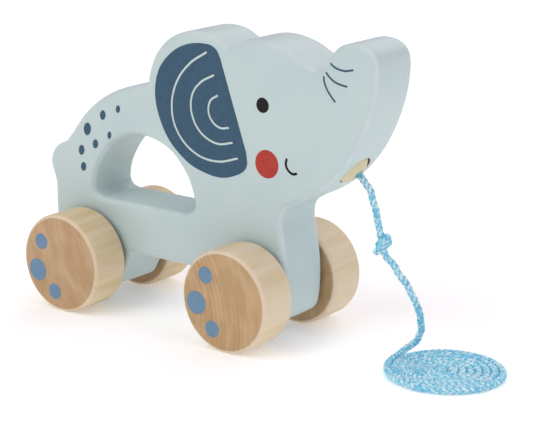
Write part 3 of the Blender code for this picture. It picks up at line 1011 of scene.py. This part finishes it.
def make_body_prints(body, inks):
    """Ink on both faces of the body. The far side mirrors the near one."""
    tree = BVHTree.FromObject(body, bpy.context.evaluated_depsgraph_get())
    patches = (
        ("ear_print", "slate_print", PRINT_LIFT, [outline_patch(EAR_OUTLINE)]),
        ("ear_line_print", "pale_print", OVERPRINT_LIFT,
         [stroke_patch(arc, EAR_ARC_WIDTH) for arc in EAR_ARCS]),
        ("eye_print", "black_print", PRINT_LIFT, [disc_patch(EYE_CENTRE, EYE_RADIUS, EYE_RADIUS)]),
        ("cheek_print", "red_print", PRINT_LIFT,
         [disc_patch(CHEEK_CENTRE, CHEEK_RADIUS, CHEEK_RADIUS, points=64)]),
        ("mouth_print", "black_print", PRINT_LIFT, [stroke_patch(MOUTH, MOUTH_WIDTH)]),
        ("trunk_wrinkle_print", "slate_print", PRINT_LIFT,
         [stroke_patch(line, WRINKLE_WIDTH) for line in TRUNK_WRINKLES]),
        ("rump_spot_print", "slate_print", PRINT_LIFT,
         [disc_patch(spot[:2], *spot[2:], SPOT_LEAN, rings=SPOT_RINGS) for spot in RUMP_SPOTS]),
    )
    for side_name, side in SIDES:
        def height_at(point, side=side):
            start = Vector((point.x, side * 2 * BODY_HALF, point.y))
            hit = tree.ray_cast(start, -side * ACROSS)[0]
            return abs(hit.y)
        for name, slot, lift, shapes in patches:
            mesh = slab_mesh(side_name + "_" + name, shapes, height_at, side, lift)
            finish_mesh(side_name + "_" + name, mesh, inks[slot], TOY_BODY, slot)


def make_wheel_prints(ink):
    for end, turn in (("front", FRONT_DOTS_TURN), ("rear", REAR_DOTS_TURN)):
        for side_name, side in SIDES:
            low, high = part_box(end + "_" + side_name + "_wheel")
            face = max(abs(low.y), abs(high.y))
            hub = ((low + high) / 2) / MM
            dots = []
            for angle, distance, radius in WHEEL_DOTS:
                spin = math.radians(turn + angle)
                centre = (hub.x + distance * math.cos(spin), hub.z + distance * math.sin(spin))
                dots.append(disc_patch(centre, radius, radius, points=56))
            name = end + "_" + side_name + "_wheel_dots"
            mesh = slab_mesh(name, dots, lambda point, face=face: face, side, PRINT_LIFT)
            finish_mesh(name, mesh, ink, end + "_wheelset", "blue_print")


# ---------------------------------------------------------------- stage

def make_floor():
    mesh = bpy.data.meshes.new("floor")
    square = ((-1, -1), (1, -1), (1, 1), (-1, 1))
    corners = [(x * FLOOR_REACH, y * FLOOR_REACH, 0) for x, y in square]
    mesh.from_pydata(corners, [], [(0, 1, 2, 3)])
    mesh.materials.append(floor_material())
    link_object("floor", mesh)


def make_sky():
    """A dim sky over a bright horizon, so that the floor's far edge doesn't show."""
    world = bpy.data.worlds.new("studio")
    world.use_nodes = True
    nodes, links = world.node_tree.nodes, world.node_tree.links
    height = nodes.new("ShaderNodeSeparateXYZ")
    links.new(nodes.new("ShaderNodeTexCoord").outputs["Generated"], height.inputs[0])
    fade = nodes.new("ShaderNodeMapRange")
    fade.interpolation_type = "SMOOTHSTEP"
    for socket, value in (("From Min", HORIZON_GLOW[0]), ("From Max", HORIZON_GLOW[1]),
                          ("To Min", 1.0), ("To Max", SKY_STRENGTH)):
        fade.inputs[socket].default_value = value
    links.new(height.outputs["Z"], fade.inputs["Value"])
    background = nodes["Background"]
    background.inputs["Color"].default_value = SKY_TINT
    links.new(fade.outputs["Result"], background.inputs["Strength"])
    bpy.context.scene.world = world
    bpy.context.scene.view_settings.view_transform = "Standard"


def make_light(name, towards, angle, share, tint):
    """A soft, distant lamp. Its share is how brightly it lights white facing it, from 0 to 1."""
    data = bpy.data.lights.new(name, "SUN")
    data.angle = math.radians(angle)
    data.energy = math.pi * share
    data.color = tint
    lamp = link_object(name, data)
    lamp.rotation_euler = Vector(towards).to_track_quat("Z", "Y").to_euler()


make_camera()
make_cord(cord_material())
BEECH = wood_material("beech", (225, 208, 177), (217, 197, 161), (226, 208, 188),
                      (196, 164, 124), (183, 150, 109), 1.0)
WARM_BEECH = wood_material("warm_beech", (223, 205, 167), (213, 191, 147), (227, 208, 184),
                           (193, 161, 124), (181, 147, 109), 0.7)
PLUG_WOOD = wood_material("plug_wood", (215, 208, 171), (203, 196, 154), (220, 212, 180),
                          (207, 199, 162), (197, 189, 150), 0.5)
BARE_WOOD = wood_material("bore_wood", (150, 116, 78), (130, 98, 64), (150, 116, 78),
                          (140, 106, 70), (122, 90, 58), 0.5)
INKS = {
    "slate_print": ink_material("slate_print", (46, 79, 102), (53, 87, 110)),
    "pale_print": ink_material("pale_print", (190, 207, 205), (198, 214, 211)),
    "black_print": ink_material("black_print", (11, 10, 11), (19, 17, 18), 0.2),
    "red_print": ink_material("red_print", (168, 48, 36), (178, 57, 43)),
    "blue_print": ink_material("blue_print", (99, 132, 161), (107, 141, 169)),
}
painted_body = make_body(paint_material(), BARE_WOOD)
make_wheelset("front", ((48.0, 0.0, -22.0), (-58.0, 0.0, -12.0)), BEECH)
make_wheelset("rear", ((-36.0, 0.0, 44.0), (70.0, 0.0, 30.0)), WARM_BEECH)
make_plug(PLUG_WOOD)
make_body_prints(painted_body, INKS)
make_wheel_prints(INKS["blue_print"])
make_floor()
make_sky()
make_light("key", (-0.40, -0.85, 0.80), 50, 0.39, (1.0, 0.99, 0.97))
make_light("front_fill", (0.85, 0.00, 0.50), 40, 0.165, (0.98, 0.97, 1.0))
make_light("back", (-0.20, 1.00, 0.55), 45, 0.18, (1.0, 0.96, 1.0))
make_light("top", (0.10, 0.20, 1.00), 90, 0.475, (1.0, 0.92, 0.98))
